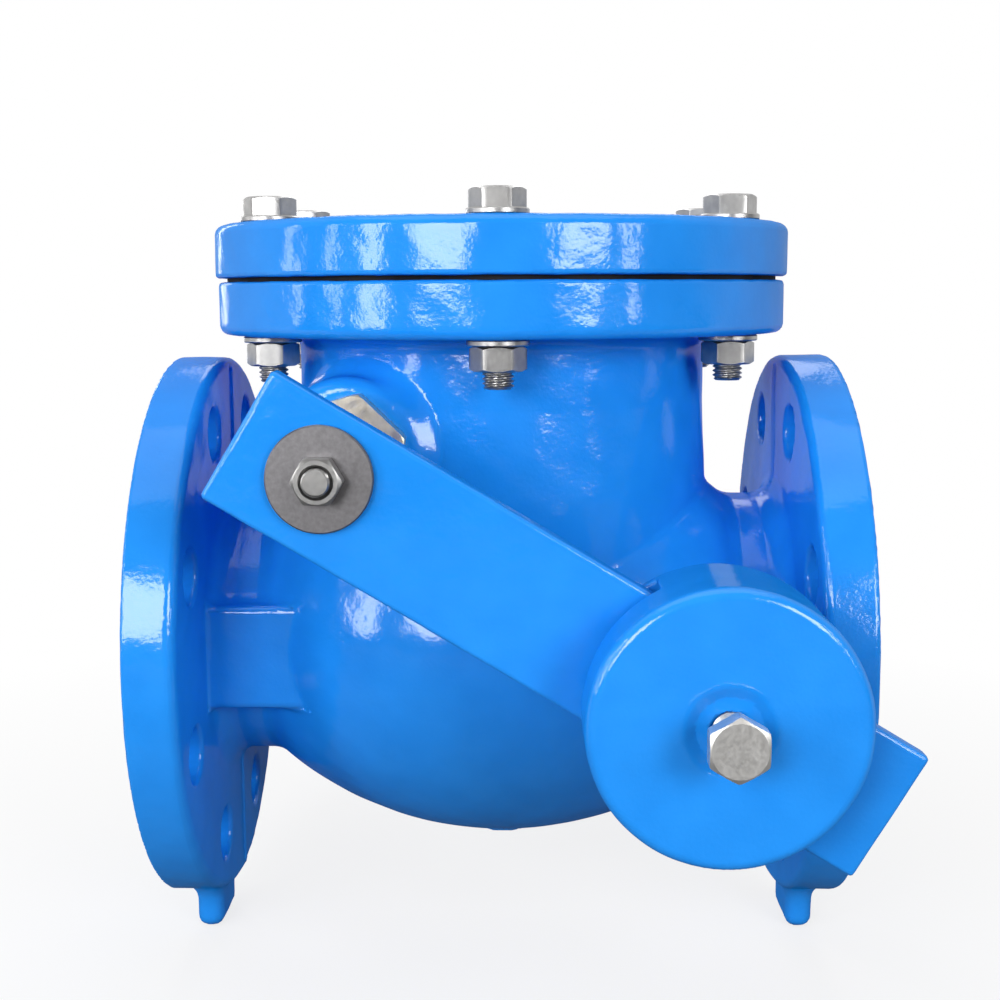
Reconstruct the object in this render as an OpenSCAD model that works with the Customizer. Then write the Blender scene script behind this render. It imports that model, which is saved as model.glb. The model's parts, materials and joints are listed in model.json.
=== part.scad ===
// Flanged swing check valve with an outside lever and counterweight.
// Origin: centre of the inlet flange's face. +X with the flow, +Z up to the
// cover, -Y the lever side. Millimetres. Drawn closed.

/* [Pipe ends] */
// Length over both flange faces
face_to_face = 241; // [220:1:280]
// Pipe bore
bore_d = 80; // [70:1:88]
// Outside of a pipe flange
flange_d = 200; // [190:1:206]
// Thickness of a pipe flange
flange_t = 19; // [15:0.5:24]
// Circle of the pipe bolts
bolt_circle_d = 160; // [156:1:168]
// Pipe bolts in each flange
bolt_count = 8; // [4:4:8]
// Hole for a pipe bolt at the inlet
bolt_hole_d = 19; // [14:0.5:21]
// How much wider the outlet's holes are drilled
outlet_hole_extra = 0.4; // [0.4:0.1:1]
// Chamfer round a flange's machined face
face_chamfer = 0.8; // [0.2:0.2:2]

/* [Casting] */
// Wall of the casting
wall = 8; // [6:0.5:9]
// Widest diameter of the bowl
bowl_d = 157; // [152:1:166]
// Radius of the bowl's side along the flow
bowl_arc_r = 128; // [115:1:145]
// Outside of the upright neck
neck_d = 149; // [146:1:152]
// Rounding of the cast edges
edge_r = 3.5; // [1:0.5:4.5]
// Fillet behind each pipe flange
flange_fillet_r = 8; // [4:0.5:10]
// Width of the pad on the inlet neck
pad_h = 36.5; // [24:0.5:40]
// How far the middle of the pad lies below the pipe's axis
pad_low = 1.8; // [0:0.1:4]
// Distance of the pad's buried end from the inlet face
pad_end = 57; // [54:1:60]
// Distance of the pad's face from the pipe axis
pad_out = 55.5; // [52:0.5:58]
// Width of a cast foot along the flow
foot_t = 10; // [8:0.5:13]
// Breadth of a cast foot across the flow
foot_w = 28; // [16:1:36]
// How far a foot stands below the flange
foot_drop = 18.3; // [8:0.1:20]
// Set-back of a foot from the flange's face
foot_set = 2.5; // [1:0.5:5]
// Fillet between a foot and the flange's rim
foot_fillet_r = 12; // [6:0.5:14]
// Rounding of a foot's lower edges
foot_edge_r = 4; // [1:0.5:6]
// Diameter of the drain pad under the bowl
drain_pad_d = 22; // [12:1:28]
// How far the drain pad stands below the bowl
drain_pad_drop = 2.5; // [1:0.5:4]

/* [Bonnet joint] */
// Height of the bonnet joint above the hinge
bonnet_rise = 56; // [52:1:70]
// Cover bolts' centres from the neck's wall
cover_bolt_gap = 15.5; // [14.5:0.5:18]
// Rim of the bonnet flange beyond the bolts' centres
bonnet_rim = 13; // [11:0.5:16]
// Thickness of the bonnet flange
bonnet_flange_t = 18.5; // [14:0.5:19]
// How far the cover laps over the bonnet flange
cover_lap = 1; // [0:0.5:4]
// Thickness of the cover
cover_t = 18.5; // [14:0.5:24]
// Depth of the spigot under the cover
spigot_h = 4; // [2:0.5:6]
// Thickness of the cover gasket
gasket_t = 1.5; // [1:0.25:3]
// How far the gasket lies inside the flange's edge
gasket_inset = 3; // [1:0.5:5]
// Cover bolts
cover_bolt_count = 6; // [4:1:8]
// Thread of the cover bolts
cover_bolt_d = 10; // [8:1:10]
// Hole for a cover bolt
cover_hole_d = 11.5; // [10.5:0.5:13]
// Bolt end below its nut
cover_bolt_out = 5.5; // [3:0.5:8]
// Spanner size of the cover bolts
cover_hex_af = 16; // [15:0.5:16.5]
// Height of a cover bolt's head
cover_head_h = 6.4; // [5:0.2:8]
// Height of a cover nut
cover_nut_h = 8; // [6:0.5:9]
// Outside of a cover bolt's washer
cover_washer_d = 20; // [18:0.5:20]
// Thickness of a cover bolt's washer
cover_washer_t = 2; // [1.5:0.25:2.5]

/* [Seat and disc] */
// Breadth of the seat ring
seat_w = 8; // [6:0.5:9]
// Depth of the seat ring
seat_t = 10; // [6:0.5:12]
// Step from the pipe bore out to the seat ring's bore
seat_step = 1; // [0.5:0.5:2]
// How far the seat ring stands out of its wall
seat_lip = 2; // [1:0.5:3]
// Seat face upstream of the hinge axis
seat_back = 4; // [3:0.5:5]
// Edge of the disc beyond the seat ring
disc_rim = 1; // [0:0.5:2]
// Thickness of the disc
disc_t = 10; // [8:0.5:12]
// Breadth of the disc's seal
seal_w = 12; // [10:0.5:13]
// Thickness of the disc's seal
seal_t = 5; // [4:0.5:6]
// How far the seal stands out of the disc
seal_proud = 1; // [0.5:0.25:1.5]
// How far the retaining plate covers the seal
retainer_lap = 2; // [1:0.5:2.5]
// Thickness of the retaining plate
retainer_t = 3; // [2:0.5:4]
// Screws of the retaining plate
screw_count = 4; // [3:1:6]
// Thread of the retaining screws
screw_d = 5; // [4:0.5:6]
// Circle of the retaining screws
screw_circle_d = 50; // [40:1:54]
// Thread of the disc's stud
stud_d = 14; // [12:1:15]
// Boss at the foot of the stud
stud_boss_d = 30; // [26:1:34]
// Height of the boss at the foot of the stud
stud_boss_h = 6; // [4:0.5:8]

/* [Hinge] */
// Hinge axis upstream of mid-length
hinge_back = 50; // [46:0.5:52]
// Hinge axis above the disc's edge
hinge_rise = 22.5; // [21:0.5:26]
// Hinge shaft
shaft_d = 16; // [14:0.5:17]
// Outside of the arm's hub
hub_d = 26; // [25:0.5:27]
// Length of the arm's hub
hub_l = 31; // [26:1:34]
// Breadth of the arm
arm_w = 16; // [12:1:20]
// Thickness of the arm's eye
eye_t = 12; // [9:0.5:14]
// Outside of the arm's eye
eye_d = 32; // [28:1:36]
// Side of the square key
key_w = 5; // [4:0.5:6]
// Outside of a shaft bush
bush_d = 22; // [20:0.5:23]
// Flange of a shaft bush
bush_flange_d = 26; // [24:0.5:28]
// Thickness of a bush flange
bush_flange_t = 2; // [1.5:0.25:3]
// Shaft boss outside the neck
boss_d = 50; // [46:1:52]
// Rounding of the shaft boss
boss_edge_r = 5; // [2:0.5:6]
// Shaft boss inside the neck
inner_boss_d = 30; // [28:1:32]
// Face of the shaft boss inside the neck's widest
boss_inset = 0.5; // [0:0.5:3]
// Spanner size of the gland nut and the rear plug
gland_af = 36; // [32:1:40]
// Height of the gland nut's hexagon
gland_h = 9.5; // [7:0.5:12]
// Turn of the gland's hexagon when screwed home
gland_turn = 16; // [0:1:60]
// Thread of the gland nut and the rear plug
gland_d = 27; // [25:0.5:29]
// Depth of that thread
gland_depth = 8; // [6:0.5:9]
// Depth of the packing behind the gland nut
packing_l = 8; // [6:0.5:9]
// Thickness of the rear plug's gasket
plug_gasket_t = 1.5; // [1:0.25:2]

/* [Lever] */
// Back of the lever from mid-plane
lever_out = 132.5; // [128:0.5:140]
// Length of the lever
lever_l = 220; // [200:1:240]
// Breadth of the lever
lever_w = 42.2; // [34:0.1:46]
// How far the middle of the lever lies below the hinge
lever_low = 1.2; // [0:0.1:3]
// Thickness of the lever
lever_t = 8; // [6:0.5:10]
// Lever's short end from the hinge
lever_tail = 27; // [22:1:34]
// Slope of the lever below level when closed
lever_drop = 31; // [25:1:37]
// Square of the shaft through the lever
square_w = 11; // [9:0.5:11]
// Collar of the shaft behind the lever
collar_d = 22; // [20:1:26]
// Length of that collar
collar_l = 5; // [3:0.5:8]
// Thread at the shaft's end
shaft_thread_d = 8; // [6:0.5:8.5]
// Spanner size of the lever nut
lever_nut_af = 13; // [11:0.5:14]
// Height of the lever nut
lever_nut_h = 6.5; // [5:0.5:8]
// Thread beyond the lever nut
shaft_thread_out = 2; // [1:0.5:6]
// Outside of the lever washer
lever_washer_d = 31; // [26:0.5:34]
// Thickness of the lever washer
lever_washer_t = 2.5; // [1.5:0.25:3]

/* [Counterweight] */
// Diameter of the weight
weight_d = 80; // [74:1:90]
// Thickness of the weight
weight_t = 41; // [34:1:44]
// Front of the weight before the lever's face
weight_front = 24.5; // [20:0.5:28]
// Weight's axis from the hinge along the lever
weight_reach = 132.5; // [110:0.5:150]
// Weight's axis above the middle of the lever
weight_rise = 1.4; // [0:0.2:2]
// Slack of the weight's slot on each side of the lever
slot_slack = 2.5; // [2.25:0.25:3.5]
// Mouth of the dished recess round the clamp bolt
dish_d = 26; // [22:0.5:30]
// Floor of the dished recess
dish_floor_d = 19; // [17:0.5:21]
// Depth of the dished recess
dish_depth = 2; // [1:0.5:3]
// Thread of the clamp bolt
clamp_d = 10; // [8:1:12]
// Spanner size of the clamp bolt
clamp_af = 16; // [13:0.5:18]
// Height of the clamp bolt's head
clamp_head_h = 6.4; // [5:0.2:8]
// Clamp bolt's shank that shows under its head
clamp_out = 15; // [1:0.5:20]
// Turn of the clamp bolt's head
clamp_turn = 30; // [0:1:60]

/* [Clearances] */
// Radial gap of pieces that are pressed or screwed together
fit_gap = 0.05; // [0.02:0.01:0.1]
// Radial gap of a shaft that turns
run_gap = 0.05; // [0.02:0.01:0.09]
// Gap between faces that meet and part
face_gap = 0.3; // [0.2:0.05:0.5]
// Radial gap of a bolt in its hole or a nut on its thread
thread_gap = 0.1; // [0.05:0.05:0.2]

/* [Hidden] */
$fn = 96;
over = 1;
arc_steps = 6;
paint = "dodgerblue";
steel = "silver";
bronze = "goldenrod";
sealing = "dimgray";

// Small fixed sizes
shaft_end_gap = 2;
stud_out = 1;
screw_floor = 2;
eye_rim = 1;
lever_corner_r = 2;
foot_sink = 0.3;
hub_room = 1;

// Places along the flow
mid_x = face_to_face / 2;
hinge_x = mid_x - hinge_back;
seat_x = hinge_x - seat_back;
seat_wall_x = seat_x - seat_lip;
seal_x = seat_x + face_gap;
disc_x = seal_x + seal_proud;
disc_back_x = disc_x + disc_t;
eye_x = disc_back_x + stud_boss_h + face_gap;
disc_washer_t = 2.5;
disc_washer_x = eye_x + eye_t + face_gap;
disc_nut_x = disc_washer_x + disc_washer_t;

// Heights above the pipe axis
seat_r = bore_d / 2 + seat_w;
disc_r = seat_r + disc_rim;
hinge_z = disc_r + hinge_rise;
bonnet_z = hinge_z + bonnet_rise;
bonnet_under_z = bonnet_z - bonnet_flange_t;
cover_z = bonnet_z + gasket_t;
cover_top_z = cover_z + cover_t;
shelf_h = 5;
shelf_z = seat_r + shelf_h;

// Radii and circles
pipe_neck_r = bore_d / 2 + wall;
cover_bolt_circle_d = neck_d + 2 * cover_bolt_gap;
bonnet_flange_d = cover_bolt_circle_d + 2 * bonnet_rim;
cover_d = bonnet_flange_d + 2 * cover_lap;
neck_in_r = neck_d / 2 - wall;
seal_r = disc_r - disc_rim;
seal_in_r = seal_r - seal_w;

// Distances to the front of the mid-plane
boss_out = neck_d / 2 - boss_inset;
inner_boss_face = hub_l / 2 + bush_flange_t + face_gap;
bush_end = boss_out - gland_depth - packing_l;
shaft_rear = bush_end - shaft_end_gap;
lever_face = lever_out + lever_t;
washer_face = lever_face + lever_washer_t;
lever_nut_face = washer_face + lever_nut_h;
weight_face = lever_face + weight_front;
weight_back = weight_face - weight_t;

// Fasteners
disc_nut_af = stud_d * 1.5;
disc_nut_h = stud_d * 0.8;
castle_h = 4;
castle_w = 4;
castle_d = disc_nut_af - 2;
pin_d = 3;
pin_l = disc_nut_af - 1;
stud_end_x = disc_nut_x + disc_nut_h + stud_out;
pin_x = stud_end_x - castle_h / 2;
screw_head_d = screw_d * 1.7;
screw_head_h = screw_d * 0.5;
screw_depth = disc_t - seal_proud - screw_floor;

// Points on an arc, from angle a to angle b
function arc(c, r, a, b) = [for (i = [0 : arc_steps]) c + r * [cos(a + (b - a) * i / arc_steps),
    sin(a + (b - a) * i / arc_steps)]];

// Outline of a rectangle with rounded corners, from its low to its high corner
function rounded(low, high, r) = concat(
    arc([high[0] - r, low[1] + r], r, -90, 0),
    arc([high[0] - r, high[1] - r], r, 0, 90),
    arc([low[0] + r, high[1] - r], r, 90, 180),
    arc([low[0] + r, low[1] + r], r, 180, 270));

// Turns the drawing axis from up to along the flow
module along_flow() {
    rotate([0, 90, 0]) children();
}

// Puts the drawing axis on the hinge, pointing to the lever side
module at_hinge() {
    translate([hinge_x, 0, hinge_z]) rotate([90, 0, 0]) children();
}

// Bar on the drawing axis between two distances
module bar(from, to, d) {
    translate([0, 0, from]) cylinder(h = to - from, d = d);
}

// Sleeve on the drawing axis between two distances
module sleeve(from, to, d_out, d_in) {
    difference() {
        bar(from, to, d_out);
        bar(from - over, to + over, d_in);
    }
}

// Hexagon bar on the drawing axis between two distances, by its spanner size
module hex(from, to, af) {
    translate([0, 0, from]) cylinder(h = to - from, d = af / cos(30), $fn = 6);
}

// Round plate with rounded edges on the drawing axis
module rounded_plate(from, to, d, r) {
    rotate_extrude() polygon(concat([[0, from]],
        arc([d / 2 - r, from + r], r, -90, 0), arc([d / 2 - r, to - r], r, 0, 90), [[0, to]]));
}

// Copies on a circle round the drawing axis
module on_circle(count, d, start) {
    for (i = [0 : count - 1]) rotate(start + i * 360 / count) translate([d / 2, 0, 0]) children();
}

// Copies at the cover bolts
module at_cover_bolts() {
    on_circle(cover_bolt_count, cover_bolt_circle_d, -90)
        children();
}

// Moves the drawing to the bonnet's axis
module on_bonnet() {
    translate([mid_x, 0, 0]) children();
}

// Lies along the lever from the hinge, with the lever's breadth upright
module along_lever() {
    translate([hinge_x, 0, hinge_z]) rotate([0, lever_drop, 0]) rotate([90, 0, 0]) children();
}

// Barrel of revolution whose side is one long arc
module barrel(r_mid, arc_r, half_l) {
    rotate_extrude() intersection() {
        translate([r_mid - arc_r, 0]) circle(r = arc_r);
        translate([0, -half_l]) square([r_mid + over, 2 * half_l]);
    }
}

// One pipe flange, its flat face at zero and its neck behind it
module pipe_flange() {
    r = flange_d / 2;
    rotate_extrude() polygon(concat(
        [[0, 0], [r - face_chamfer, 0], [r, face_chamfer]],
        arc([r - edge_r, flange_t - edge_r], edge_r, 0, 90),
        arc([pipe_neck_r + flange_fillet_r, flange_t + flange_fillet_r], flange_fillet_r, 270, 180),
        [[0, flange_t + flange_fillet_r]]));
    translate([0, 0, foot_set]) foot();
}

// Foot under a pipe flange, filleted into the rim
module foot() {
    half_w = foot_w / 2;
    corner = [-flange_d / 2 - foot_drop + foot_edge_r, half_w - foot_edge_r];
    fillet_y = half_w + foot_fillet_r;
    fillet_z = -sqrt(pow(flange_d / 2 + foot_fillet_r - foot_sink, 2) - fillet_y * fillet_y);
    side = concat(
        arc(corner, foot_edge_r, 180, 90),
        arc([fillet_z, fillet_y], foot_fillet_r, -90, -atan2(fillet_y, -fillet_z)));
    last = len(side) - 1;
    root = [wall - flange_d / 2, side[last][1]];
    linear_extrude(foot_t) polygon(concat(
        side, [root, [root[0], -root[1]]],
        [for (i = [last : -1 : 0]) [side[i][0], -side[i][1]]]));
}

// Bolt holes of one pipe flange, astride the upright
module bolt_holes(d) {
    on_circle(bolt_count, bolt_circle_d, 180 / bolt_count) bar(-over, flange_t + over, d);
}

// Repeats a piece of the inlet at the outlet, facing the other way
module at_both_ends() {
    rotate([0, 90, 0]) mirror([1, 0, 0]) children();
    translate([face_to_face, 0, 0]) rotate([0, -90, 0]) children();
}

// Upright neck with its bonnet flange
module neck() {
    r = bonnet_flange_d / 2;
    neck_r = neck_d / 2;
    fillet_r = edge_r + 1;
    rotate_extrude() polygon(concat(
        [[0, 0], [neck_r, 0]],
        arc([neck_r + fillet_r, bonnet_under_z - fillet_r], fillet_r, 180, 90),
        arc([r - edge_r, bonnet_under_z + edge_r], edge_r, -90, 0),
        arc([r - edge_r, bonnet_z - edge_r], edge_r, 0, 90),
        [[0, bonnet_z]]));
}

// Shaft boss on one side of the neck
module shaft_boss() {
    rounded_plate(0, boss_out, boss_d, boss_edge_r);
}

// Hollow of the casting behind the seat
module chamber() {
    difference() {
        union() {
            intersection() {
                translate([mid_x, 0, 0]) along_flow() barrel(bowl_d / 2 - wall, bowl_arc_r - wall, mid_x);
                translate([seat_wall_x, -bowl_d, -bowl_d]) cube([face_to_face, 2 * bowl_d, 2 * bowl_d]);
            }
            intersection() {
                on_bonnet() bar(0, bonnet_z + over, 2 * neck_in_r);
                translate([seat_wall_x, -neck_d, 0]) cube([neck_d * 2, 2 * neck_d, bonnet_z + over]);
            }
            on_bonnet() bar(shelf_z, bonnet_z + over, 2 * neck_in_r);
        }
        at_hinge() bar(inner_boss_face, boss_out, inner_boss_d);
        at_hinge() bar(-boss_out, -inner_boss_face, inner_boss_d);
    }
}

module body() {
    color(paint) difference() {
        union() {
            at_both_ends() pipe_flange();
            translate([flange_t, 0, 0]) along_flow() bar(0, face_to_face - 2 * flange_t, 2 * pipe_neck_r);
            translate([mid_x, 0, 0]) along_flow() barrel(bowl_d / 2, bowl_arc_r, mid_x - flange_t);
            on_bonnet() neck();
            at_hinge() shaft_boss();
            at_hinge() mirror([0, 0, 1]) shaft_boss();
            translate([flange_t / 2, -pad_out, -pad_low - pad_h / 2]) cube([pad_end - flange_t / 2, pad_out, pad_h]);
            on_bonnet() bar(-bowl_d / 2 - drain_pad_drop, -bowl_d / 2 + wall / 2, drain_pad_d);
        }
        chamber();
        along_flow() bar(-over, seat_x, bore_d);
        along_flow() bar(mid_x, face_to_face + over, bore_d);
        along_flow() bar(seat_x - seat_t, seat_x, 2 * (seat_r + fit_gap));
        along_flow() bolt_holes(bolt_hole_d);
        translate([face_to_face, 0, 0]) rotate([0, -90, 0]) bolt_holes(bolt_hole_d + outlet_hole_extra);
        on_bonnet() at_cover_bolts() bar(bonnet_under_z - over, bonnet_z + over, cover_hole_d);
        at_hinge() bar(-inner_boss_face, inner_boss_face, hub_d + 2 * hub_room);
        at_hinge() bar(-boss_out - over, boss_out + over, bush_d + 2 * fit_gap);
        at_hinge() bar(bush_end, boss_out + over, gland_d + 2 * fit_gap);
        at_hinge() bar(-boss_out - over, -bush_end, gland_d + 2 * fit_gap);
    }
}

module seat_ring() {
    color(bronze) along_flow() sleeve(seat_x - seat_t, seat_x, 2 * seat_r, bore_d + 2 * seat_step);
}

module cover() {
    spigot_r = neck_in_r - face_gap;
    color(paint) on_bonnet() difference() {
        union() {
            rounded_plate(cover_z, cover_top_z, cover_d, edge_r);
            bar(cover_z - gasket_t - spigot_h, cover_z + over, 2 * spigot_r);
        }
        at_cover_bolts() bar(cover_z - over, cover_top_z + over, cover_hole_d);
    }
}

module cover_gasket() {
    color(sealing) on_bonnet() difference() {
        sleeve(bonnet_z, cover_z, bonnet_flange_d - 2 * gasket_inset, 2 * neck_in_r);
        at_cover_bolts() bar(bonnet_z - over, cover_z + over, cover_hole_d);
    }
}

module cover_bolts() {
    head_z = cover_top_z + cover_washer_t;
    end_z = bonnet_under_z - cover_washer_t - cover_nut_h - cover_bolt_out;
    color(steel) on_bonnet() at_cover_bolts() {
        bar(end_z, head_z, cover_bolt_d);
        rotate(30) hex(head_z, head_z + cover_head_h, cover_hex_af);
    }
}

module cover_washers() {
    hole_d = cover_bolt_d + 2 * thread_gap;
    color(steel) on_bonnet() at_cover_bolts() {
        sleeve(cover_top_z, cover_top_z + cover_washer_t, cover_washer_d, hole_d);
        sleeve(bonnet_under_z - cover_washer_t, bonnet_under_z, cover_washer_d, hole_d);
    }
}

module cover_nuts() {
    top_z = bonnet_under_z - cover_washer_t;
    color(steel) on_bonnet() at_cover_bolts() difference() {
        rotate(30) hex(top_z - cover_nut_h, top_z, cover_hex_af);
        bar(top_z - cover_nut_h - over, top_z + over, cover_bolt_d + 2 * thread_gap);
    }
}

// Flanged bush on one side of the arm
module bush() {
    difference() {
        union() {
            bar(inner_boss_face - bush_flange_t, inner_boss_face, bush_flange_d);
            bar(inner_boss_face, bush_end, bush_d);
        }
        bar(0, boss_out, shaft_d + 2 * run_gap);
    }
}

module front_bush() {
    color(bronze) at_hinge() bush();
}

module rear_bush() {
    color(bronze) at_hinge() mirror([0, 0, 1]) bush();
}

module gland_packing() {
    color(sealing) at_hinge() sleeve(bush_end, bush_end + packing_l, gland_d, shaft_d + 2 * run_gap);
}

module gland_nut() {
    color(bronze) at_hinge() difference() {
        union() {
            bar(boss_out - gland_depth, boss_out + gland_h / 2, gland_d);
            rotate(gland_turn) hex(boss_out, boss_out + gland_h, gland_af);
        }
        bar(0, boss_out + gland_h + over, shaft_d + 2 * face_gap);
    }
}

module plug_gasket() {
    color(sealing) at_hinge() mirror([0, 0, 1])
        sleeve(boss_out, boss_out + plug_gasket_t, gland_af, gland_d + 2 * thread_gap);
}

module rear_plug() {
    face = boss_out + plug_gasket_t;
    color(bronze) at_hinge() mirror([0, 0, 1]) {
        bar(boss_out - gland_depth, face, gland_d);
        hex(face, face + gland_h, gland_af);
    }
}

module hinge_shaft() {
    keyway_l = hub_l + 2 * fit_gap;
    color(steel) difference() {
        union() {
            at_hinge() bar(-shaft_rear, lever_out, shaft_d);
            at_hinge() bar(lever_out - collar_l, lever_out, collar_d);
            along_lever() translate([-square_w / 2, -square_w / 2, lever_out])
                cube([square_w, square_w, lever_t]);
            at_hinge() bar(lever_out, lever_nut_face + shaft_thread_out, shaft_thread_d);
        }
        at_hinge() translate([-key_w / 2 - fit_gap, -shaft_d / 2 - over, -keyway_l / 2])
            cube([key_w + 2 * fit_gap, key_w / 2 + over, keyway_l]);
    }
}

module arm_key() {
    color(steel) at_hinge() translate([-key_w / 2, -shaft_d / 2 - key_w / 2 + fit_gap, -hub_l / 2])
        cube([key_w, key_w - 2 * fit_gap, hub_l]);
}

// Hub on the shaft, a cranked arm and the eye that carries the disc's stud
module hinge_arm() {
    hub_r = hub_d / 2;
    knee_z = disc_r + 2 * over;
    color("slategray") difference() {
        union() {
            at_hinge() bar(-hub_l / 2, hub_l / 2, hub_d);
            translate([0, arm_w / 2, 0]) rotate([90, 0, 0]) linear_extrude(arm_w) polygon([
                [hinge_x - hub_r / 2, hinge_z], [hinge_x, knee_z + over], [eye_x, knee_z],
                [eye_x, 0], [eye_x + eye_t, 0], [eye_x + eye_t, disc_r - wall],
                [hinge_x + hub_r, hinge_z]]);
            along_flow() bar(eye_x, eye_x + eye_t, eye_d);
        }
        at_hinge() bar(-hub_l, hub_l, shaft_d + 2 * fit_gap);
        at_hinge() translate([-key_w / 2 - fit_gap, -shaft_d / 2 - key_w / 2, -hub_l])
            cube([key_w + 2 * fit_gap, shaft_d / 2, 2 * hub_l]);
        along_flow() bar(eye_x - over, eye_x + eye_t + over, stud_d + 2 * run_gap);
    }
}

module lever() {
    hole_w = square_w + 2 * fit_gap;
    color(paint) along_lever() difference() {
        translate([0, 0, lever_out]) linear_extrude(lever_t) polygon(rounded(
            [-lever_tail, -lever_low - lever_w / 2],
            [lever_l - lever_tail, lever_w / 2 - lever_low], lever_corner_r));
        translate([-hole_w / 2, -hole_w / 2, lever_out - over]) cube([hole_w, hole_w, lever_t + 2 * over]);
    }
}

module lever_washer() {
    color(steel) at_hinge()
        sleeve(lever_face, washer_face, lever_washer_d, shaft_thread_d + 2 * thread_gap);
}

module lever_nut() {
    color(steel) at_hinge() difference() {
        hex(washer_face, lever_nut_face, lever_nut_af);
        bar(washer_face - over, lever_nut_face + over, shaft_thread_d + 2 * thread_gap);
    }
}

module disc() {
    color("slategray") along_flow() difference() {
        union() {
            bar(disc_x, disc_back_x, 2 * disc_r);
            bar(disc_x, disc_back_x + stud_boss_h, stud_boss_d);
            bar(disc_x, stud_end_x, stud_d);
        }
        sleeve(disc_x - over, seal_x + seal_t, 2 * seal_r, 2 * seal_in_r);
        on_circle(screw_count, screw_circle_d, 0) bar(disc_x - over, disc_x + screw_depth, screw_d);
        translate([0, 0, pin_x]) rotate([90, 0, 0]) bar(-stud_d, stud_d, pin_d + 2 * thread_gap);
    }
}

module disc_seal() {
    color("black") along_flow()
        sleeve(seal_x, seal_x + seal_t, 2 * (seal_r - fit_gap), 2 * (seal_in_r + fit_gap));
}

module seal_retainer() {
    color(steel) along_flow() difference() {
        union() {
            bar(seal_x - retainer_t, seal_x, 2 * (seal_in_r + retainer_lap));
            bar(seal_x - retainer_t, disc_x, 2 * (seal_in_r - fit_gap));
        }
        on_circle(screw_count, screw_circle_d, 0)
            bar(seal_x - retainer_t - over, disc_x + over, screw_d + 2 * thread_gap);
    }
}

module retainer_screws() {
    head_x = seal_x - retainer_t;
    color(steel) along_flow() on_circle(screw_count, screw_circle_d, 0) {
        bar(head_x, disc_x + screw_depth, screw_d - 2 * fit_gap);
        bar(head_x - screw_head_h, head_x, screw_head_d);
    }
}

module disc_washer() {
    color(steel) along_flow()
        sleeve(disc_washer_x, disc_nut_x, eye_d - 2 * eye_rim, stud_d + 2 * thread_gap);
}

module disc_nut() {
    top_x = disc_nut_x + disc_nut_h;
    color(steel) along_flow() difference() {
        union() {
            hex(disc_nut_x, top_x - castle_h, disc_nut_af);
            bar(disc_nut_x, top_x, castle_d);
        }
        bar(disc_nut_x - over, top_x + over, stud_d + 2 * thread_gap);
        for (i = [0 : 2]) rotate(90 + i * 60) translate([-disc_nut_af, -castle_w / 2, top_x - castle_h])
            cube([2 * disc_nut_af, castle_w, castle_h + over]);
    }
}

module split_pin() {
    color(steel) along_flow() translate([0, 0, pin_x]) rotate([90, 0, 0])
        bar(-pin_l / 2, pin_l / 2, pin_d);
}

module counterweight() {
    slot_w = lever_w + 2 * slot_slack;
    slot_t = lever_t + 2 * slot_slack;
    color(paint) along_lever() difference() {
        translate([weight_reach, weight_rise, 0]) difference() {
            rounded_plate(weight_back, weight_face, weight_d, edge_r);
            translate([0, 0, weight_face - dish_depth])
                cylinder(h = dish_depth, d1 = dish_floor_d, d2 = dish_d);
            bar(lever_face, weight_face + over, clamp_d + 2 * thread_gap);
        }
        translate([weight_reach - weight_d, -lever_low - slot_w / 2, lever_out - slot_slack])
            cube([2 * weight_d, slot_w, slot_t]);
    }
}

module clamp_bolt() {
    head = weight_face - dish_depth + clamp_out;
    color(steel) along_lever() translate([weight_reach, weight_rise, 0]) {
        bar(lever_face + face_gap, head + clamp_head_h / 2, clamp_d);
        rotate(lever_drop + clamp_turn) hex(head, head + clamp_head_h, clamp_af);
    }
}

body();
seat_ring();
cover();
cover_gasket();
cover_bolts();
cover_washers();
cover_nuts();
front_bush();
rear_bush();
gland_packing();
gland_nut();
rear_plug();
plug_gasket();
hinge_shaft();
hinge_arm();
arm_key();
lever();
lever_washer();
lever_nut();
disc();
disc_seal();
seal_retainer();
retainer_screws();
disc_washer();
disc_nut();
split_pin();
counterweight();
clamp_bolt();
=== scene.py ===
"""Looks of a flanged swing check valve with an outside lever and a counterweight."""
import json
import math

import bpy
import numpy as np
from mathutils import Matrix, Vector

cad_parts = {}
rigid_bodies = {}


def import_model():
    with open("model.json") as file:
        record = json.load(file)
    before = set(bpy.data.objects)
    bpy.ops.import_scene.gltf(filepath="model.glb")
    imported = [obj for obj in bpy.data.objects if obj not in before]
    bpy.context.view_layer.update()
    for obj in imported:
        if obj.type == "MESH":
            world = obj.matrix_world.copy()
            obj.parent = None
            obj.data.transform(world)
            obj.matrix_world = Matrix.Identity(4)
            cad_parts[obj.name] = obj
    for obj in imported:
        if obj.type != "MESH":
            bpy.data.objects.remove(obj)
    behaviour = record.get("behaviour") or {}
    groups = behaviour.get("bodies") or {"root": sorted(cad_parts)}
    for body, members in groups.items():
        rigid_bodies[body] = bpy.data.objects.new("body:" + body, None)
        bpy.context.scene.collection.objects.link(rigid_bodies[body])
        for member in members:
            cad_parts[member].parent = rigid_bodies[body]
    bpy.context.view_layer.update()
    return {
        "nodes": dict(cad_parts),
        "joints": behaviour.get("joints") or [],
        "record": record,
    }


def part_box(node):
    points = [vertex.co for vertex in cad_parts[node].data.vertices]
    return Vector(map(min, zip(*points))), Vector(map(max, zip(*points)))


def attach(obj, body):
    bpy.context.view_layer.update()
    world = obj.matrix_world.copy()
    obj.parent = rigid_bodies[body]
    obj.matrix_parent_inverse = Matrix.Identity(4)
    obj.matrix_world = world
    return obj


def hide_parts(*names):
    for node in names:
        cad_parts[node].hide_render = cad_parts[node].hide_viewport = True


for leftover in list(bpy.data.objects):
    bpy.data.objects.remove(leftover)
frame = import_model()
scene = bpy.context.scene

MM = 0.001

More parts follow.
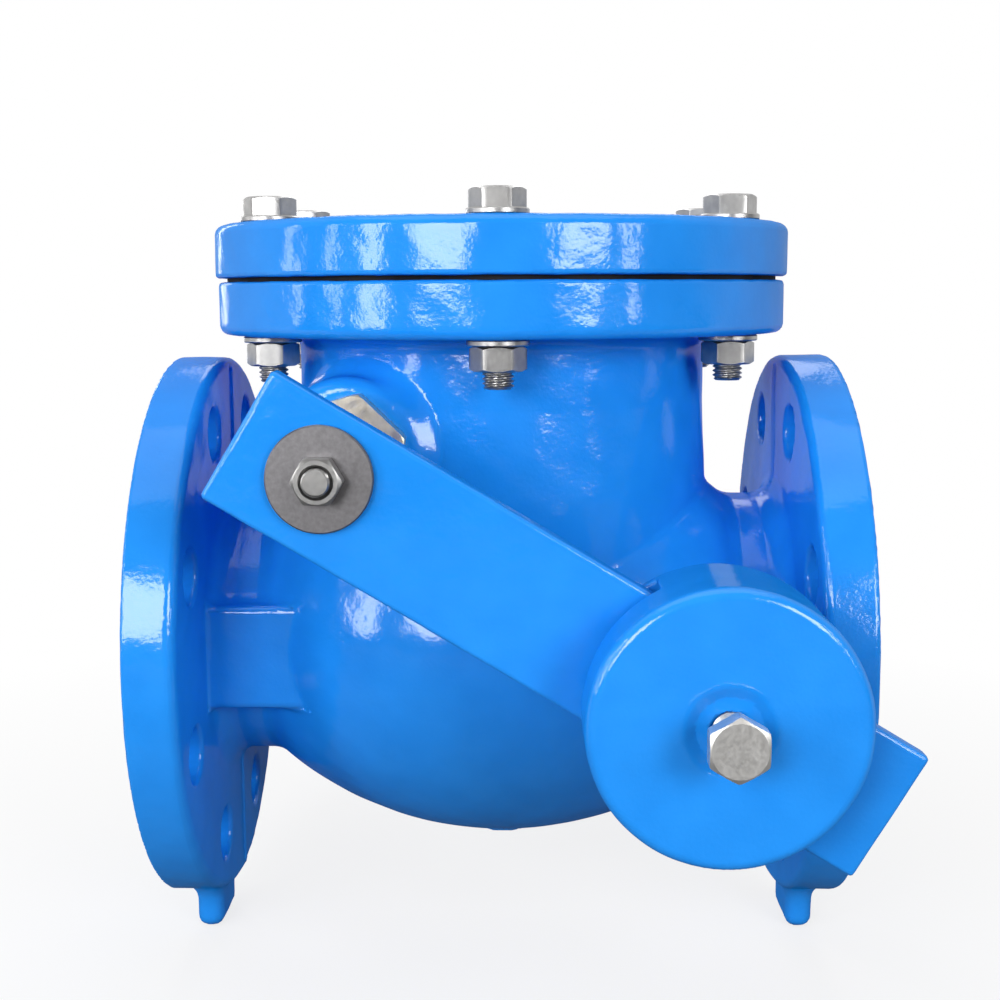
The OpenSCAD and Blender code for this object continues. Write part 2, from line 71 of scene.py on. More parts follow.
# Gaps round and between pieces, and how far a hole is cut past a face, in millimetres
FIT_GAP = 0.05
FACE_GAP = 0.3
CUT_PAST = 4


def box_mm(node):
    """Lowest and highest corner of a CAD node, in millimetres."""
    low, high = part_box(node)
    return np.array(low) / MM, np.array(high) / MM


def joint(name):
    """The record of one joint."""
    return next(j for j in frame["joints"] if j["name"] == name)


# Sizes and places from the frame, in millimetres
BODY_LOW, BODY_HIGH = box_mm("body")
COVER_LOW, COVER_HIGH = box_mm("cover")
SEAT_HIGH = box_mm("seat_ring")[1]
GASKET_HIGH = box_mm("cover_gasket")[1]
LENGTH = BODY_HIGH[0]
MID_X = LENGTH / 2
FOOT_Z = BODY_LOW[2]
BONNET_Z = BODY_HIGH[2]
BONNET_R = BODY_HIGH[1]
COVER_R = COVER_HIGH[1]
COVER_Z = GASKET_HIGH[2]
COVER_TOP = COVER_HIGH[2]
SEAT_X = SEAT_HIGH[0]
SEAT_R = SEAT_HIGH[1]
HINGE = np.array(joint("clapper_swing")["pos_m"]) / MM
LEVER_AXIS = Vector(joint("weight_slide")["axis"])
LEVER_UP = LEVER_AXIS.cross(Vector((0, 1, 0)))

# Casting, in millimetres
FLANGE_R = 100
FLANGE_BACK = 19
FLANGE_DRAFT = 0.014
SEAM_HALF_W = 1.1
SEAM_H = 0.7
SEAM_FILLET = 0.8
FACE_EDGE_R = 1.2
BORE_R = 40
PIPE_R = 48
PIPE_FILLET = 8
BOLT_CIRCLE_R = 80
BOLT_HOLE_R = 9.5
BOLT_HOLE_EDGE_R = 1.6
BOLT_COUNT = 8
BOWL_R = 78.5
BOWL_ARC_R = 128
BOWL_FILLET = 10
WALL = 8
NECK_R = 74.5
NECK_DRAFT = 0.04
NECK_DRAFT_TOP = 85
NECK_DRAFT_H = 30
NECK_TAKE_OFF = 0.2
NECK_FILLET = 6
BONNET_T = 18.5
BONNET_FILLET = 5
COVER_BOLT_R = 90
COVER_BOLTS = 6
COVER_HOLE_R = 5.75
COVER_HOLE_EDGE_R = 0.8
COVER_WAVE_SHIFT = 31
SPIGOT_EDGE_R = 0.8
SPIGOT_LAP = 2
BOSS_R = 25
BOSS_OUT = 74
BOSS_EDGE_R = 5
BOSS_FILLET = 7
BUSH_R = 11.05
GLAND_R = 13.55
BUSH_END = 58
INNER_BOSS_R = 15
INNER_BOSS_FACE = 17.8
SEAT_WALL_X = SEAT_X - 2
SEAT_DEPTH = 10
SHELF_Z = 53
EDGE_R = 3.5
JOINT_EDGE_R = 1.3
PAD_LOW = (10, -55.5, -20.05)
PAD_HIGH = (57, 0, 16.45)
PAD_EDGE_R = 2.5
PAD_FILLET = 5
FOOT_T = 10
FOOT_SET = 2.5
FOOT_HALF_W = 14
FOOT_FLARE_R = 12
FOOT_SIDE_R = 7
FOOT_SIDE_W = 4
FOOT_EDGE_R = 4
DRAIN_R = 11
DRAIN_Z = -81
DRAIN_EDGE_R = 1.5
DRAIN_FILLET = 3
WELL_FILLET = 3
INNER_BOSS_EDGE_R = 1
BORE_EDGE_R = 0.6

# Lever and weight, on the lever's own axes from the hinge
LEVER_TAIL = 27
LEVER_END = 193
LEVER_HALF_W = 21.1
LEVER_LOW = 1.2
LEVER_EDGE_R = 1.4
LEVER_WAVES = 0.5
LEVER_WAVE_SHIFT = 40
LEVER_BACK = -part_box("lever")[1][1] / MM
LEVER_FACE = -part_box("lever")[0][1] / MM
SQUARE_HALF = 5.55
SQUARE_EDGE_R = 0.5
SQUARE_CORNER = 1.40
WEIGHT_REACH = 132.5
WEIGHT_RISE = 1.4
WEIGHT_R = 40
WEIGHT_EDGE_R = 3.2
WEIGHT_WAVES = 0.6
WEIGHT_BACK = -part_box("counterweight")[1][1] / MM
WEIGHT_FACE = -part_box("counterweight")[0][1] / MM
SLOT_SLACK = 2.5
SLOT_EDGE_R = 1.3
DISH_R = 13
DISH_FLOOR_R = 9.5
DISH_DEPTH = 2
DISH_EDGE_R = 0.6
CLAMP_HOLE_R = 5.1
CLAMP_HOLE_EDGE_R = 0.5

# Fasteners, where AF is the width across flats
COVER_AF = 16
COVER_BOLT_D = 10
COVER_HEAD_H = 6.4
COVER_NUT_H = 8
COVER_WASHER_R = 10
COVER_WASHER_T = 2
COVER_PITCH = 1.5
BOLT_CHAMFER = 0.9
GLAND_AF = 36
GLAND_H = 9.5
GLAND_DEPTH = 8
GLAND_FLAT = 1.1
GLAND_LIP = 1
PLUG_GASKET_T = 1.5
GLAND_TURN = math.radians(16)
SHAFT_R = 8
COLLAR_R = 11
COLLAR_T = 5
COLLAR_EDGE = 0.5
STUD_R = 4
STUD_CHAMFER = 0.4
STUD_PITCH = 1.25
LEVER_NUT_AF = 13
LEVER_NUT_H = 6.5
LEVER_WASHER_R = 15.5
LEVER_WASHER_T = 2.5
THREAD_SLACK = 0.1
NUT_LIP = 0.9
CLAMP_TURN = math.radians(61)
CLAMP_OUT = 13
CLAMP_R = 5
CLAMP_AF = 16
CLAMP_HEAD_H = 6.4


# Distance fields, in millimetres: below zero inside
def fillet(a, b, r, c=0.0):
    """Union of two fields with a fillet of radius r, where c is the cosine between their surfaces."""
    p = np.maximum(r - a, 0)
    q = np.maximum(r - b, 0)
    c = np.clip(c, -0.9, 0.97)
    reach = np.sqrt(np.maximum(p * p + q * q - 2 * p * q * c, 0) / (1 - c * c))
    plain = np.minimum(a, b)
    return np.where((p > q * c) & (q > p * c), np.minimum(plain, r - reach), plain)


def cut(a, b, r):
    """Field a without field b, with the edge rounded to radius r."""
    b = -b
    return np.minimum(-r, np.maximum(a, b)) + np.hypot(np.maximum(r + a, 0), np.maximum(r + b, 0))


def rod(along, radial, start, end, r, edge):
    """Round bar between two places on its axis, with rounded ends."""
    u = np.abs(along - (start + end) / 2) - (end - start) / 2 + edge
    v = radial - r + edge
    return np.minimum(np.maximum(u, v), 0) + np.hypot(np.maximum(u, 0), np.maximum(v, 0)) - edge


def block(x, y, z, low, high, edge):
    """Box between two corners, with rounded edges."""
    q = [np.abs(v - (a + b) / 2) - (b - a) / 2 + edge for v, a, b in zip((x, y, z), low, high)]
    outer = np.sqrt(sum(np.maximum(v, 0) ** 2 for v in q))
    return np.minimum(np.maximum(np.maximum(q[0], q[1]), q[2]), 0) + outer - edge


def folded(u, v, count, start):
    """Distances along and across the nearest of several spokes of a wheel."""
    angle = np.arctan2(v, u) - start
    step = 2 * math.pi / count
    angle = angle - step * np.round(angle / step)
    r = np.hypot(u, v)
    return r * np.cos(angle), r * np.sin(angle)


def unevenness(x, y, z):
    """Slow waves of a sand-cast skin."""
    return (0.10 * np.sin(0.19 * x + 0.9 * np.sin(0.11 * y)) * np.sin(0.17 * z + 0.23 * y)
            + 0.04 * np.sin(0.37 * y - 0.31 * z) * np.sin(0.41 * x + 0.2 * z))


def bowl_field(x, r, bowl_r, arc_r):
    """Barrel on the pipe axis whose side is one long arc."""
    return np.hypot(x - MID_X, r + arc_r - bowl_r) - arc_r


def casting(x, y, z):
    """Body casting with its flanges, bowl, upright neck, bosses, feet and hollows."""
    end_x = np.minimum(x, LENGTH - x)
    r = np.hypot(y, z)
    rho = np.hypot(x - MID_X, y)
    hinge_r = np.hypot(x - HINGE[0], z - HINGE[2])

    # pipe ends and bowl
    back = end_x + FLANGE_DRAFT * np.abs(y)
    flange = rod(back, r, -2 * EDGE_R, FLANGE_BACK, FLANGE_R, EDGE_R)
    seam = np.maximum(np.abs(y) - SEAM_HALF_W, r - FLANGE_R + EDGE_R)
    flange = fillet(flange, np.maximum(seam, end_x - FLANGE_BACK - SEAM_H), SEAM_FILLET)
    pipe = fillet(flange, np.maximum(r - PIPE_R, FLANGE_BACK / 2 - end_x), PIPE_FILLET)
    bowl = bowl_field(x, r, BOWL_R, BOWL_ARC_R)
    lean = r + BOWL_ARC_R - BOWL_R
    lean_r = np.hypot(x - MID_X, lean)
    solid = fillet(pipe, bowl, BOWL_FILLET, lean / lean_r)
    foot = cut(np.maximum(np.abs(y) - FOOT_HALF_W, z), z - FOOT_Z, FOOT_EDGE_R)
    foot = fillet(r - FLANGE_R, foot, FOOT_FLARE_R)
    foot = np.maximum(foot, np.maximum(np.abs(y) - FOOT_HALF_W - FOOT_FLARE_R, z))
    below = np.clip(FLANGE_R + FOOT_SIDE_R - r, 0, FOOT_SIDE_R)
    flare = np.minimum(FOOT_SIDE_R - np.sqrt(FOOT_SIDE_R ** 2 - below ** 2), FOOT_SIDE_W)
    flank = np.abs(end_x - FOOT_SET - FOOT_T / 2) - FOOT_T / 2 - flare
    solid = np.minimum(solid, cut(foot, -flank, FOOT_EDGE_R))

    # upright neck, bonnet flange and shaft bosses
    draft_r = NECK_R - NECK_TAKE_OFF + NECK_DRAFT * np.clip(NECK_DRAFT_TOP - z, 0, NECK_DRAFT_H)
    neck = np.maximum(np.maximum(rho - draft_r, z - BONNET_Z + EDGE_R), -z)
    bonnet = rod(z, rho, BONNET_Z - BONNET_T, BONNET_Z + 2 * EDGE_R, BONNET_R, EDGE_R)
    upright = fillet(neck, cut(bonnet, BONNET_Z - z, JOINT_EDGE_R), BONNET_FILLET)
    boss = rod(np.abs(y), hinge_r, 0, BOSS_OUT, BOSS_R, BOSS_EDGE_R)
    tilt = (x - HINGE[0]) * (x - MID_X) / np.maximum(hinge_r * rho, 1e-6)
    upright = fillet(upright, boss, BOSS_FILLET, tilt)
    turn = ((x - MID_X) ** 2 + y * y * lean / np.maximum(r, 1e-6)) / np.maximum(rho * lean_r, 1e-6)
    solid = fillet(solid, upright, NECK_FILLET, turn)
    on_front = PAD_LOW[1] - y > np.maximum(z - PAD_HIGH[2], PAD_LOW[2] - z)
    facing = np.where(on_front, -y, np.abs(z)) / np.maximum(r, 1e-6)
    pad = block(x, y, z, PAD_LOW, PAD_HIGH, PAD_EDGE_R)
    solid = fillet(solid, pad, PAD_FILLET, facing * lean / lean_r)
    solid = fillet(solid, rod(z, rho, DRAIN_Z, -BOWL_R + WALL, DRAIN_R, DRAIN_EDGE_R), DRAIN_FILLET)
    solid = cut(solid + unevenness(x, y, z), end_x, FACE_EDGE_R)

    # hollows
    chamber = np.maximum(bowl_field(x, r, BOWL_R - WALL, BOWL_ARC_R - WALL), SEAT_WALL_X - x)
    well = np.maximum(np.maximum(rho - NECK_R + WALL, -z), np.minimum(SHELF_Z - z, SEAT_WALL_X - x))
    chamber = fillet(chamber, well, WELL_FILLET)
    inner_boss = np.maximum(hinge_r - INNER_BOSS_R, INNER_BOSS_FACE - np.abs(y))
    chamber = cut(chamber, inner_boss, INNER_BOSS_EDGE_R)
    bore = np.maximum(r - BORE_R, np.minimum(x - SEAT_X, MID_X - x))
    counterbore = np.maximum(r - SEAT_R - FIT_GAP, np.maximum(SEAT_X - SEAT_DEPTH - x, x - SEAT_X))
    hollow = np.minimum(np.minimum(chamber, bore), counterbore)
    solid = cut(solid, hollow, BORE_EDGE_R)
    spoke, side = folded(y, z, BOLT_COUNT, math.pi / BOLT_COUNT)
    holes = np.maximum(np.hypot(spoke - BOLT_CIRCLE_R, side) - BOLT_HOLE_R, end_x - FLANGE_BACK - CUT_PAST)
    solid = cut(solid, holes, BOLT_HOLE_EDGE_R)
    spoke, side = folded(x - MID_X, y, COVER_BOLTS, -math.pi / 2)
    holes = np.hypot(spoke - COVER_BOLT_R, side) - COVER_HOLE_R
    solid = cut(solid, np.maximum(holes, BONNET_Z - BONNET_T - CUT_PAST - z), BORE_EDGE_R)
    shaft_hole = np.minimum(hinge_r - BUSH_R, np.maximum(hinge_r - GLAND_R, BUSH_END - np.abs(y)))
    return cut(solid, shaft_hole, BORE_EDGE_R)


def cover_field(x, y, z):
    """Cover plate with its spigot and bolt holes."""
    rho = np.hypot(x - MID_X, y)
    plate = cut(rod(z, rho, COVER_Z - 2 * EDGE_R, COVER_TOP, COVER_R, EDGE_R), z - COVER_Z, JOINT_EDGE_R)
    spigot_r = NECK_R - WALL - FACE_GAP
    spigot = rod(z, rho, COVER_LOW[2], COVER_Z + SPIGOT_LAP, spigot_r, SPIGOT_EDGE_R)
    solid = np.minimum(plate + unevenness(x + COVER_WAVE_SHIFT, y, z), spigot)
    spoke, side = folded(x - MID_X, y, COVER_BOLTS, -math.pi / 2)
    return cut(solid, np.hypot(spoke - COVER_BOLT_R, side) - COVER_HOLE_R, COVER_HOLE_EDGE_R)


def lever_field(u, v, w):
    """Flat lever bar with its square hole."""
    bar = block(u, v + LEVER_LOW, w, (-LEVER_TAIL, -LEVER_HALF_W, LEVER_BACK),
                (LEVER_END, LEVER_HALF_W, LEVER_FACE), LEVER_EDGE_R)
    bar = bar + LEVER_WAVES * unevenness(u, v + LEVER_WAVE_SHIFT, w)
    return cut(bar, np.maximum(np.abs(u), np.abs(v)) - SQUARE_HALF, SQUARE_EDGE_R)


def weight_field(u, v, w):
    """Round weight with a slot for the lever and a dished recess."""
    u = u - WEIGHT_REACH
    v = v - WEIGHT_RISE
    r = np.hypot(u, v)
    solid = rod(w, r, WEIGHT_BACK, WEIGHT_FACE, WEIGHT_R, WEIGHT_EDGE_R)
    solid = solid + WEIGHT_WAVES * unevenness(u, v, w)
    slot = np.maximum(np.abs(v + WEIGHT_RISE + LEVER_LOW) - LEVER_HALF_W - SLOT_SLACK,
                      np.maximum(LEVER_BACK - SLOT_SLACK - w, w - LEVER_FACE - SLOT_SLACK))
    solid = cut(solid, slot, SLOT_EDGE_R)
    floor = WEIGHT_FACE - DISH_DEPTH
    cone = (r - DISH_FLOOR_R) - (w - floor) * (DISH_R - DISH_FLOOR_R) / DISH_DEPTH
    solid = cut(solid, np.maximum(0.5 * cone, floor - w), DISH_EDGE_R)
    return cut(solid, np.maximum(r - CLAMP_HOLE_R, LEVER_FACE - w), CLAMP_HOLE_EDGE_R)


# Meshing
CORNER_PULL = 0.25


def surface_net(values, low, step):
    """Points and outward faces where a sampled field crosses zero."""
    inside = values < 0
    corners = [np.array(c) for c in np.ndindex(2, 2, 2)]
    cells_shape = np.array(values.shape) - 1
    count = np.zeros(cells_shape, np.int8)
    for i, j, k in corners:
        count += inside[i:i + cells_shape[0], j:j + cells_shape[1], k:k + cells_shape[2]]
    crossed = (count > 0) & (count < 8)
    number = np.full(cells_shape, -1)
    number[crossed] = np.arange(crossed.sum())
    cells = np.argwhere(crossed)
    points = np.zeros(cells.shape)
    weight = np.zeros(len(cells))
    units = np.eye(3, dtype=int)
    for a in corners:
        for unit in units:
            if a @ unit:
                continue
            first = values[tuple((cells + a).T)]
            second = values[tuple((cells + a + unit).T)]
            hit = (first < 0) != (second < 0)
            t = first[hit] / (first[hit] - second[hit])
            points[hit] += cells[hit] + a + t[:, None] * unit
            weight[hit] += 1
    points = low + step * points / weight[:, None]
    faces = []
    for axis in range(3):
        unit, b, c = units[axis], units[(axis + 1) % 3], units[(axis + 2) % 3]
        last = [slice(None)] * 3
        last[axis] = slice(1, None)
        first = [slice(None)] * 3
        first[axis] = slice(None, -1)
        starts = inside[tuple(first)]
        edges = np.argwhere(starts != inside[tuple(last)])
        loop = np.stack([number[tuple((edges - shift).T)] for shift in (b + c, c, 0 * b, b)], axis=1)
        outward = starts[tuple(edges.T)]
        faces.append(np.where(outward[:, None], loop, loop[:, ::-1]))
    return points, np.concatenate(faces)


def slope(field, points, h=0.05):
    """Gradient of a field at points."""
    rises = [field(*(points + h * e).T) - field(*(points - h * e).T) for e in np.eye(3)]
    return np.stack(rises, axis=1) / (2 * h)


def cast_piece(name, field, low, high, step, place=None):
    """Mesh of a field's surface between two corners, with the field's own normals."""
    low, high = np.array(low, float), np.array(high, float)
    counts = np.ceil((high - low) / step).astype(int) + 1
    xs, ys, zs = (low[i] + step * np.arange(counts[i]) for i in range(3))
    y, z = np.meshgrid(ys, zs, indexing="ij")
    values = np.stack([field(np.full_like(y, x), y, z) for x in xs])
    points, faces = surface_net(values, low, step)
    for _ in range(3):
        grad = slope(field, points)
        size = np.maximum((grad * grad).sum(1), 0.2)
        points -= np.clip(field(*points.T) / size, -step, step)[:, None] * grad
    corners = points[faces]
    towards = corners + CORNER_PULL * (corners.mean(axis=1, keepdims=True) - corners)
    normals = slope(field, towards.reshape(-1, 3))
    normals /= np.maximum(np.linalg.norm(normals, axis=1), 1e-9)[:, None]
    matrix = np.array(place if place is not None else Matrix.Identity(4))
    points = points @ matrix[:3, :3].T + matrix[:3, 3]
    normals = normals @ matrix[:3, :3].T
    piece = mesh_piece(name, points, faces)
    piece.data.normals_split_custom_set(normals.tolist())
    return piece


def mesh_piece(name, points, faces):
    """Smooth-shaded object from points in millimetres."""
    mesh = bpy.data.meshes.new(name)
    mesh.from_pydata((np.asarray(points) * MM).tolist(), [], [list(map(int, f)) for f in faces])
    mesh.shade_smooth()
    piece = bpy.data.objects.new(name, mesh)
    scene.collection.objects.link(piece)
    return piece


def ring_piece(name, parts, sharp=28):
    """One object from shells: lists of rings, each with a flag that joins its last ring to its first."""
    points, faces = [], []
    for rings, closed in parts:
        base = len(points)
        n = len(rings[0])
        for loop in rings:
            points.extend(loop)
        last = len(rings) if closed else len(rings) - 1
        for i in range(last):
            a, b = base + i * n, base + (i + 1) % len(rings) * n
            faces += [(a + k, a + (k + 1) % n, b + (k + 1) % n, b + k) for k in range(n)]
        if not closed:
            faces.append([base + k for k in reversed(range(n))])
            faces.append([base + (len(rings) - 1) * n + k for k in range(n)])
    piece = mesh_piece(name, np.array(points), faces)
    piece.data.set_sharp_from_angle(angle=math.radians(sharp))
    return piece


SIDES = 72
TURN = np.arange(SIDES) * 2 * math.pi / SIDES


def ring(r, z):
    """Points round the drawing axis, where r and z may change with the angle."""
    return np.stack([r * np.cos(TURN), r * np.sin(TURN), z + 0 * TURN], axis=1)


HEX_CORNER = 0.985
HEX_CHAMFER = math.radians(30)


def hex_r(af):
    """Radius of a hexagon with slightly worn corners at each angle."""
    lean = np.mod(TURN, math.pi / 3) - math.pi / 6
    return np.minimum(af / 2 / np.cos(lean), HEX_CORNER * af / 2 / math.cos(math.pi / 6))


def hex_rings(af, start, end, low_chamfer=True, flat=0.95):
    """Outside of a nut or bolt head, with 30 degree chamfers outside a share of its inner circle."""
    r = hex_r(af)
    flat_r = np.minimum(r, flat * af / 2)
    drop = (r - flat_r) * math.tan(HEX_CHAMFER) + 0.01
    low = [ring(flat_r, start), ring(r, start + drop)] if low_chamfer else [ring(r, start)]
    return low + [ring(r, end - drop), ring(flat_r, end)]


def nut_rings(af, start, end, hole_r):
    """Closed shell of a nut with a countersunk hole."""
    lip = hole_r + NUT_LIP
    return ([ring(hole_r, start + NUT_LIP), ring(lip, start)] + hex_rings(af, start, end)
            + [ring(lip, end), ring(hole_r, end - NUT_LIP)])


def washer_rings(r, hole_r, start, end):
    """Closed shell of a washer with broken edges."""
    e = min(0.4, 0.3 * (end - start))
    outer = [(r - e, start), (r, start + e), (r, end - e), (r - e, end)]
    return [ring(hole_r, start)] + [ring(a, z) for a, z in outer] + [ring(hole_r, end)]


THREAD_DEPTH = 0.55
THREAD_CREST = 1.25
THREAD_FLANK = 1.6
RINGS_PER_TURN = 10


def thread_rings(r, pitch, start, end, chamfer):
    """Turns of a thread from a chamfered end, upwards or downwards."""
    steps = int(abs(end - start) / pitch * RINGS_PER_TURN) + 1
    rings = [ring(r - chamfer - 0.1, start)]
    for z in np.linspace(start, end, steps):
        phase = np.mod(z / pitch - TURN / (2 * math.pi), 1)
        height = np.clip(THREAD_CREST - np.abs(2 * phase - 1) * THREAD_FLANK, 0, 1)
        depth = THREAD_DEPTH * pitch * height
        limit = r - chamfer + np.minimum(abs(z - start), chamfer)
        rings.append(ring(np.minimum(r - depth, limit), z))
    return rings


def placed(rings, matrix):
    """Rings moved by a matrix in millimetres."""
    m = np.array(matrix)
    return [r @ m[:3, :3].T + m[:3, 3] for r in rings]


def columns(x, y, z, origin):
    """Matrix with these axes and origin."""
    m = Matrix.Identity(4)
    for i, v in enumerate((x, y, z, origin)):
        m.col[i][:3] = v
    return m


FRONT = Vector((0, -1, 0))
AT_HINGE = columns(Vector((1, 0, 0)), Vector((0, 0, 1)), FRONT, HINGE)
ON_LEVER = columns(LEVER_AXIS, LEVER_UP, FRONT, HINGE)
BEHIND_HINGE = columns(Vector((-1, 0, 0)), Vector((0, 0, 1)), -FRONT, HINGE)


# Materials
def node(tree, kind, **values):
    """New shader node with its inputs set, where a socket among the values is linked."""
    made = tree.nodes.new(kind)
    for key, value in values.items():
        name = key.replace("_", " ")
        if name in made.inputs:
            if isinstance(value, bpy.types.NodeSocket):
                tree.links.new(value, made.inputs[name])
            else:
                made.inputs[name].default_value = value
        else:
            setattr(made, key, value)
    return made


def noise(tree, scale, detail=2.0):
    """Noise in object space, with features of about 1 / scale metres."""
    place = node(tree, "ShaderNodeTexCoord").outputs["Object"]
    return node(tree, "ShaderNodeTexNoise", Vector=place, Scale=scale, Detail=detail).outputs["Fac"]


def joined(tree, operation, first, second):
    """Two values joined by a sum, a product or the like."""
    made = node(tree, "ShaderNodeMath", operation=operation)
    for value, socket in ((first, made.inputs[0]), (second, made.inputs[1])):
        if isinstance(value, bpy.types.NodeSocket):
            tree.links.new(value, socket)
        else:
            socket.default_value = value
    return made.outputs[0]


def spread(tree, value, low, high, start=0.3, end=0.7):
    """Value stretched from start..end to low..high."""
    made = node(tree, "ShaderNodeMapRange", Value=value)
    for name, number in (("From Min", start), ("From Max", end), ("To Min", low), ("To Max", high)):
        made.inputs[name].default_value = number
    return made.outputs["Result"]


def blend_colour(tree, factor, low, high):
    """Colour between two, by a factor."""
    made = node(tree, "ShaderNodeMix", data_type="RGBA")
    tree.links.new(factor, made.inputs["Factor"])
    for socket in made.inputs:
        if socket.type == "RGBA":
            socket.default_value = (*(low if socket.name == "A" else high), 1)
    return next(o for o in made.outputs if o.type == "RGBA")


def bumps(tree, *layers):
    """Normal from layers of (height, strength, distance in metres)."""
    normal = None
    for height, strength, distance in layers:
        made = node(tree, "ShaderNodeBump", Height=height, Strength=strength, Distance=distance)
        if normal:
            tree.links.new(normal, made.inputs["Normal"])
        normal = made.outputs["Normal"]
    return normal


def material(name, colours, roughness, metallic, layers, patch=60.0, grain=300.0, **shader):
    """Principled material with drifting colour and bumps, each of a scale, detail, strength and depth."""
    made = bpy.data.materials.new(name)
    made.use_nodes = True
    tree = made.node_tree
    principled = tree.nodes["Principled BSDF"]
    drift = spread(tree, noise(tree, patch), 0, 1)
    tree.links.new(blend_colour(tree, drift, *colours), principled.inputs["Base Color"])
    tree.links.new(spread(tree, noise(tree, grain, 3.0), *roughness), principled.inputs["Roughness"])
    principled.inputs["Metallic"].default_value = metallic
    for key, value in shader.items():
        principled.inputs[key.replace("_", " ")].default_value = value
    made.diffuse_color = (*colours[0], 1)
    normal = bumps(tree, *((noise(tree, scale, detail), strength, depth)
                           for scale, detail, strength, depth in layers))
    if normal:
        tree.links.new(normal, principled.inputs["Normal"])
        tree.links.new(normal, principled.inputs["Coat Normal"])
    return made


BLUE = ((0.010, 0.250, 0.81), (0.014, 0.275, 0.86))
VARNISH = {"Coat_Weight": 0.2, "Coat_IOR": 2.6, "Coat_Roughness": 0.11, "Specular_IOR_Level": 0.0}
PAINT = material("epoxy_paint", BLUE, (0.10, 0.14), 0.0,
                 ((85, 2.0, 0.10, 0.0012), (260, 2.0, 0.13, 0.0006), (800, 2.0, 0.17, 0.0003)),
                 **VARNISH)
SMOOTH_PAINT = material("smooth_paint", BLUE, (0.10, 0.14), 0.0,
                        ((120, 2.0, 0.08, 0.0010), (300, 2.0, 0.18, 0.0005), (800, 2.0, 0.16, 0.0003)),
                        **VARNISH)
STEEL = material("stainless_steel", ((0.31, 0.308, 0.305), (0.40, 0.395, 0.39)), (0.30, 0.40), 1.0,
                 (), patch=240.0, grain=900.0)
BRIGHT_STEEL = material("bright_steel", ((0.64, 0.63, 0.61), (0.74, 0.73, 0.71)), (0.38, 0.48), 1.0,
                        (), patch=240.0, grain=900.0)
WASHER = material("washer_steel", ((0.17, 0.165, 0.172), (0.22, 0.215, 0.224)), (0.36, 0.46), 1.0,
                  (), patch=700.0)
BRASS = material("pale_brass", ((0.72, 0.64, 0.46), (0.86, 0.78, 0.60)), (0.32, 0.46), 1.0,
                 (), patch=400.0)
BRONZE = material("turned_bronze", ((0.52, 0.34, 0.16), (0.62, 0.42, 0.22)), (0.24, 0.36), 1.0,
                  (), patch=120.0)
FIBRE = material("gasket_fibre", ((0.010, 0.010, 0.012), (0.024, 0.023, 0.023)), (0.75, 0.92), 0.0,
                 ((1500, 3.0, 0.25, 0.0002),), Specular_IOR_Level=0.1)
RUBBER = material("seal_rubber", ((0.012, 0.012, 0.013), (0.025, 0.025, 0.027)), (0.45, 0.62), 0.0,
                  ((1200, 2.0, 0.15, 0.0002),))


def finish_piece(piece, body, replaced, skin):
    """Gives a piece its body, the CAD nodes it stands for and its material."""
    piece.data.materials.clear()
    piece.data.materials.append(skin)
    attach(piece, body)
    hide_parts(*replaced)


# Painted pieces, with the step and the margin of each sampled grid in millimetres
BODY_STEP = 1.75
BODY_MARGIN = 5
COVER_STEP = 1.5
COVER_MARGIN = 4
LEVER_STEP = 1.1
WEIGHT_STEP = 1.2
LEVER_MARGIN = 3
finish_piece(cast_piece("casting", casting, BODY_LOW - BODY_MARGIN, BODY_HIGH + BODY_MARGIN, BODY_STEP),
             "valve", ["body"], PAINT)
cover_corners = (COVER_LOW - COVER_MARGIN, COVER_HIGH + COVER_MARGIN)
finish_piece(cast_piece("cover_plate", cover_field, *cover_corners, COVER_STEP),
             "valve", ["cover"], PAINT)
LEVER_BOX_LOW = np.array((-LEVER_TAIL, -LEVER_LOW - LEVER_HALF_W, LEVER_BACK)) - LEVER_MARGIN
LEVER_BOX_HIGH = np.array((LEVER_END, LEVER_HALF_W, LEVER_FACE)) + LEVER_MARGIN
finish_piece(cast_piece("lever_bar", lever_field, LEVER_BOX_LOW, LEVER_BOX_HIGH, LEVER_STEP, ON_LEVER),
             "clapper", ["lever"], SMOOTH_PAINT)
WEIGHT_LOW = np.array((WEIGHT_REACH - WEIGHT_R, WEIGHT_RISE - WEIGHT_R, WEIGHT_BACK)) - LEVER_MARGIN
WEIGHT_HIGH = np.array((WEIGHT_REACH + WEIGHT_R, WEIGHT_RISE + WEIGHT_R, WEIGHT_FACE)) + LEVER_MARGIN
finish_piece(cast_piece("round_weight", weight_field, WEIGHT_LOW, WEIGHT_HIGH, WEIGHT_STEP, ON_LEVER),
             "weight", ["counterweight"], SMOOTH_PAINT)

# Cover bolts
bolt_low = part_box("cover_bolts")[0][2] / MM
bonnet_under = BONNET_Z - BONNET_T
nut_top = bonnet_under - COVER_WASHER_T
nut_low = nut_top - COVER_NUT_H
head_low = COVER_TOP + COVER_WASHER_T
shank_r = COVER_BOLT_D / 2
cover_hole = shank_r + THREAD_SLACK
bolt_parts, nut_parts, washer_parts = [], [], []
for i in range(COVER_BOLTS):
    angle = math.radians(360 / COVER_BOLTS * i - 90)
    spot = Matrix.Translation((MID_X + COVER_BOLT_R * math.cos(angle), COVER_BOLT_R * math.sin(angle), 0))
    bolt = (thread_rings(shank_r, COVER_PITCH, bolt_low, nut_low + 1, BOLT_CHAMFER)
            + [ring(shank_r, nut_low + 2), ring(shank_r, head_low)]
            + hex_rings(COVER_AF, head_low, head_low + COVER_HEAD_H, False))
    bolt_parts.append((placed(bolt, spot), False))
    nut_parts.append((placed(nut_rings(COVER_AF, nut_low, nut_top, cover_hole), spot), True))
    for low, high in ((COVER_TOP, head_low), (nut_top, bonnet_under)):
        washer_parts.append((placed(washer_rings(COVER_WASHER_R, cover_hole, low, high), spot), True))
finish_piece(ring_piece("hex_bolts", bolt_parts), "valve", ["cover_bolts"], STEEL)
